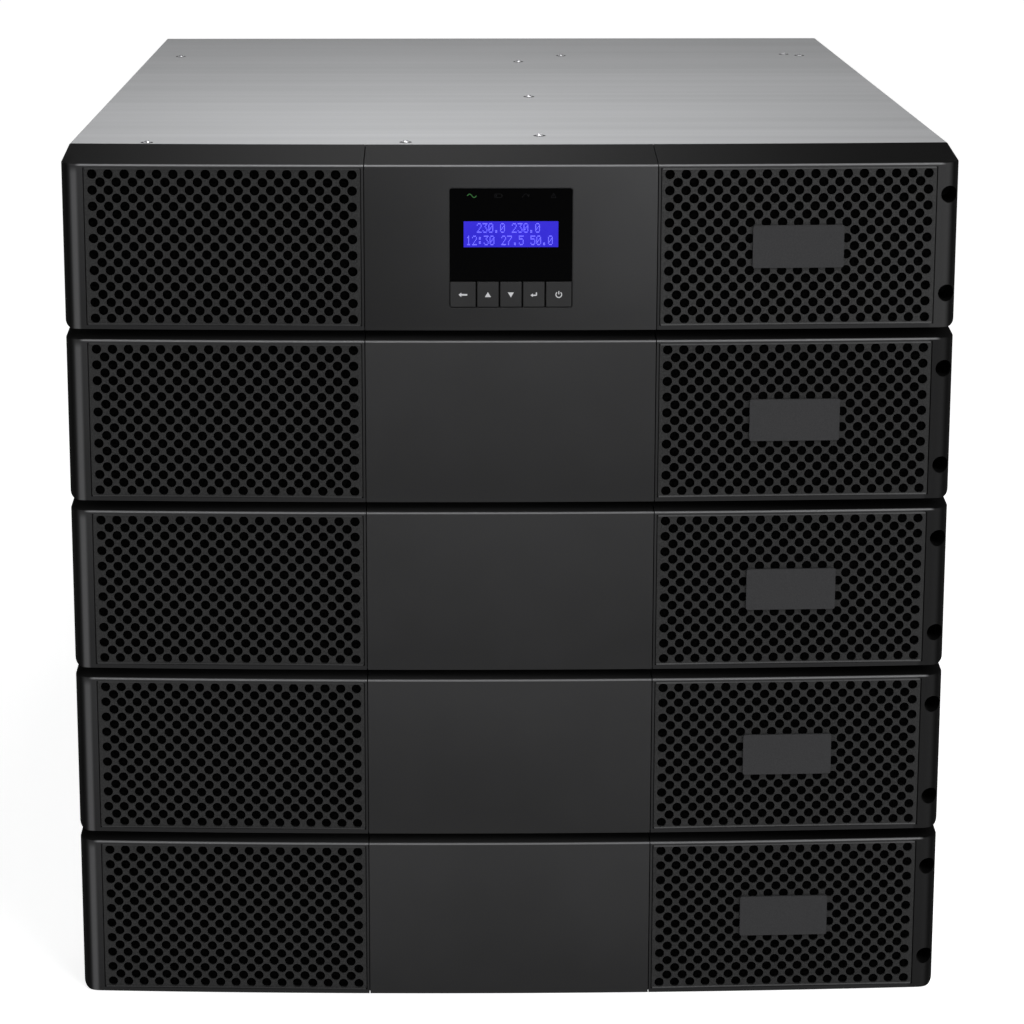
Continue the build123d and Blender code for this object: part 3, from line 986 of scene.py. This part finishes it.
def seam_strips():
    """A dark upright strip in each seam, which closes it: a rounded rectangle raised by its thickness."""
    shells = []
    for module in MODULES:
        low, _ = corners(f"{module}_centre_panel")
        base = corners(f"{module}_chassis")[0][2]
        height = base + STRIP_TOP - low[2]
        outline = rounded(STRIP_WIDTH, height, STRIP_CORNER, count=3)
        for x in (-SEAM_PLACE, SEAM_PLACE):
            centre = (x, low[1] + STRIP_BEHIND, low[2] + height / 2)
            shells.append(slab(outline, STRIP_THICKNESS, centre, FRONT))
    return piece("seam_strips", shells, CHASSIS)


seam_strips()


# Rear details, with places to the right as seen from behind

REAR_WALL = 298.0 * MM
# How far the vent plates, the connector covers and the terminal cover stand out from the wall
VENT_FACE = 1.5 * MM
PORT_FACE = 3.0 * MM
TERMINAL_FACE = 5.0 * MM
# The middle of each, and how far their screws are from it
VENT_MIDDLE = 125.0 * MM
VENT_SCREWS = (62.5 * MM, 25.0 * MM)
PORTS = {"power": (-16.0 * MM,)}
PORTS.update({module: (-117.0 * MM, -39.0 * MM) for module in BATTERIES})
PORT_SCREW = 21.0 * MM
TERMINAL_MIDDLE = -128.0 * MM
TERMINAL_SCREWS = (54.0 * MM, 22.0 * MM)
SMALL_SCREW = 2.4 * MM
# The grip ribs on a connector cover: their steps from its middle, their pitch and their size
RIB_STEPS = range(-3, 4)
RIB_PITCH = 4.0 * MM
RIB_LENGTH = 22.0 * MM
RIB_WIDTH = 1.4 * MM
RIB_HEIGHT = 0.7 * MM
# The knock-outs in the terminal cover: their places from its middle, their rings and their discs
KNOCK_OUTS = (-32.0 * MM, 0.0, 32.0 * MM)
KNOCK_OUT_RING = 11.0 * MM
RING_WIDTH = 1.2 * MM
RING_HEIGHT = 0.5 * MM
KNOCK_OUT_DISC = 8.6 * MM
DISC_HEIGHT = 0.35 * MM
# The earth stud: its place, and the washer, nut and thread on it, with heights from the wall
EARTH_PLACE = (30.0 * MM, -30.0 * MM)
EARTH_WASHER_RADIUS = 5.2 * MM
EARTH_WASHER_TOP = 0.8 * MM
NUT_SIDES = 6
NUT_HALF_WIDTH = 3.5 * MM
NUT_CUT_RADIUS = 3.75 * MM
NUT_SHOULDER = 3.4 * MM
NUT_TOP = 4.0 * MM
THREAD_ROOT = 1.9 * MM
THREAD_CREST = 2.1 * MM
THREAD_START = 4.3 * MM
THREAD_STEP = 0.35 * MM
THREAD_RINGS = 8
STUD_TOP = 7.0 * MM


def rear_place(module, right, up, out):
    """A point on a module's rear wall: to the right as seen from behind, up from its middle, and out."""
    middle = corners(f"{module}_chassis")[0][2] + MODULE_HEIGHT / 2
    return np.array([-right, REAR_WALL + out, middle + up])


def earth_stud(centre, side):
    """A washer, a six-sided nut with a turned-off top and a threaded stud: rings of points, each with its
    distance from the middle and its height. The nut's distance is its half width divided by the cosine of
    the angle from the middle of a flat."""
    around = np.linspace(0, 2 * pi, CIRCLE_POINTS, endpoint=False)
    half_flat = pi / NUT_SIDES
    hexagon = NUT_HALF_WIDTH / np.cos((around + half_flat) % (2 * half_flat) - half_flat)
    cut = np.minimum(hexagon, NUT_CUT_RADIUS)
    rings = [
        (0, 0), (EARTH_WASHER_RADIUS, 0), (EARTH_WASHER_RADIUS, EARTH_WASHER_TOP),
        (hexagon, EARTH_WASHER_TOP), (hexagon, NUT_SHOULDER), (cut, NUT_TOP), (THREAD_CREST, NUT_TOP),
    ]
    for step in range(THREAD_RINGS):
        rings.append((THREAD_CREST if step % 2 else THREAD_ROOT, THREAD_START + THREAD_STEP * step))
    rings.append((0, STUD_TOP))
    reach = np.stack([np.broadcast_to(distance, around.shape) for distance, _ in rings])
    level = np.stack([np.broadcast_to(height, around.shape) for _, height in rings])
    grid = np.stack([reach * np.cos(around), reach * np.sin(around), level], -1)
    return surface(spread(grid, centre, *side), wrap_v=True)


def rear_screws():
    """Small cross heads on the vent plates and the covers, and an earth stud and nut on each module."""
    shells = []
    for module in MODULES:
        for x, z in QUARTERS:
            right = VENT_MIDDLE + x * VENT_SCREWS[0]
            place = rear_place(module, right, z * VENT_SCREWS[1], VENT_FACE)
            shells.append(screw(place, BACK, SMALL_SCREW, SCREW_HEIGHT, turn=x + 2 * z))
        for port in PORTS[module]:
            for x in (-1, 1):
                place = rear_place(module, port + x * PORT_SCREW, 0, PORT_FACE)
                shells.append(screw(place, BACK, SMALL_SCREW, SCREW_HEIGHT, turn=port / MM + x))
        shells.append(earth_stud(rear_place(module, *EARTH_PLACE, 0), BACK))
    for x, z in QUARTERS:
        right = TERMINAL_MIDDLE + x * TERMINAL_SCREWS[0]
        place = rear_place("power", right, z * TERMINAL_SCREWS[1], TERMINAL_FACE)
        shells.append(screw(place, BACK, SCREW_RADIUS, SCREW_HEIGHT, turn=x - z))
    return piece("rear_screws", shells, SCREW)


def rear_ribs():
    """Raised grip ribs on the connector covers, and rings and discs on the terminal cover's knock-outs."""
    rib = np.linspace((0, -RIB_LENGTH / 2), (0, RIB_LENGTH / 2), num=12)
    shells = []
    for module in MODULES:
        for port in PORTS[module]:
            for step in RIB_STEPS:
                place = rear_place(module, port + step * RIB_PITCH, 0, PORT_FACE)
                shells.append(ribbon(rib, RIB_WIDTH, RIB_HEIGHT, place, BACK))
    for offset in KNOCK_OUTS:
        place = rear_place("power", TERMINAL_MIDDLE + offset, 0, TERMINAL_FACE)
        shells.append(ribbon(circle(KNOCK_OUT_RING), RING_WIDTH, RING_HEIGHT, place, BACK, closed=True))
        shells.append(slab(circle(KNOCK_OUT_DISC), DISC_HEIGHT, place, BACK))
    return piece("rear_ribs", shells, CONNECTOR)


rear_screws()
rear_ribs()


# Camera, light and floor

# The photograph's view: a long lens in front of the stack, a little left of its middle and above its top.
# Tilt and turn are in degrees
CAMERA_PLACE = (-0.033, -1.790, 0.626)
CAMERA_TILT = 12.5
CAMERA_TURN = -0.61
CAMERA_LENS_PIXELS = 3091.0
CAMERA_SHIFT = (0.0355, -0.08)
PICTURE_PIXELS = 1024
SENSOR_WIDTH = 36.0
# The level that matt surfaces get from all round
WORLD_LEVEL = 0.3
# Sines of the heights where the studio's white backdrop ends and its ceiling starts, and that one's level
CEILING_RISE = (0.2, 0.4)
CEILING_LEVEL = 0.15
FLOOR_WHITE = (0.8, 0.8, 0.8)
FLOOR_REACH = 30.0
FLOOR_GLOW = 0.76
WHITE = (1, 1, 1, 1)
# Each soft box: where it is, the point that it faces, its width and height in metres, and its watts
SOFT_LIGHTS = {
    "front_light": ((1.25, -1.75, 1.45), (0.05, -0.3, 0.22), (1.6, 1.6), 33.0),
    "side_light": ((-1.9, -1.25, 0.5), (-0.2, -0.3, 0.22), (0.35, 1.3), 5.0),
    "top_light": ((-0.05, -0.16, 0.82), (-0.04, 0.0, 0.43), (0.2, 0.6), 2.05),
}


def camera():
    """The photograph's view, with its focal length turned from pixels into millimetres on the sensor."""
    lens = bpy.data.cameras.new("camera")
    lens.sensor_width = SENSOR_WIDTH
    lens.lens = CAMERA_LENS_PIXELS / PICTURE_PIXELS * SENSOR_WIDTH
    lens.shift_x, lens.shift_y = CAMERA_SHIFT
    thing = bpy.data.objects.new("camera", lens)
    thing.location = CAMERA_PLACE
    thing.rotation_euler = (radians(90 - CAMERA_TILT), 0, radians(CAMERA_TURN))
    bpy.context.scene.collection.objects.link(thing)
    bpy.context.scene.camera = thing


def soft_light(name, place, aim, size, power):
    """A rectangular soft box that faces a point."""
    lamp = bpy.data.lights.new(name, "AREA")
    lamp.shape = "RECTANGLE"
    lamp.size, lamp.size_y = size
    lamp.energy = power
    thing = bpy.data.objects.new(name, lamp)
    thing.location = place
    direction = Vector(aim) - Vector(place)
    thing.rotation_euler = direction.to_track_quat("-Z", "Y").to_euler()
    bpy.context.scene.collection.objects.link(thing)


def pale_world():
    """White round the horizon and darker overhead to the camera, to gloss and through glass: a smooth step
    of the height of the direction looked in. Matt surfaces get one plain grey level from all round."""
    world = bpy.data.worlds.new("studio")
    world.use_nodes = True
    bpy.context.scene.world = world
    tree = world.node_tree
    background = tree.nodes["Background"]
    path = add(tree, "ShaderNodeLightPath")
    seen = maths(tree, "MAXIMUM", path.outputs["Is Camera Ray"], path.outputs["Is Transmission Ray"])
    sharp = maths(tree, "MAXIMUM", seen, path.outputs["Is Glossy Ray"])
    height = axes_of(tree, add(tree, "ShaderNodeTexCoord").outputs["Generated"])[2]
    backdrop = span(tree, smooth_step(tree, height, *CEILING_RISE), 1.0, CEILING_LEVEL)
    tree.links.new(blend(tree, sharp, WORLD_LEVEL, backdrop), background.inputs["Strength"])
    background.inputs["Color"].default_value = WHITE


def pale_floor():
    """A wide white floor: to the camera and to gloss it glows a little, and it keeps the stack's shadow."""
    edge = np.array([-FLOOR_REACH, FLOOR_REACH])
    x, y = np.meshgrid(edge, edge, indexing="ij")
    points, faces = surface(np.stack([x, y, np.zeros_like(x)], -1))
    mesh = bpy.data.meshes.new("floor")
    mesh.from_pydata(points.tolist(), [], faces[:, ::-1].tolist())
    floor = bpy.data.objects.new("floor", mesh)
    bpy.context.scene.collection.objects.link(floor)
    finish, tree, shader = new_finish("floor_white", FLOOR_WHITE, roughness=0.9, specular=0.0)
    path = add(tree, "ShaderNodeLightPath")
    seen = maths(tree, "MAXIMUM", path.outputs["Is Camera Ray"], path.outputs["Is Glossy Ray"])
    shader.inputs["Emission Color"].default_value = WHITE
    tree.links.new(span(tree, seen, 0.0, FLOOR_GLOW), shader.inputs["Emission Strength"])
    mesh.materials.append(finish)


camera()
pale_world()
pale_floor()
for name, values in SOFT_LIGHTS.items():
    soft_light(name, *values)
bpy.context.scene.view_settings.view_transform = "Standard"
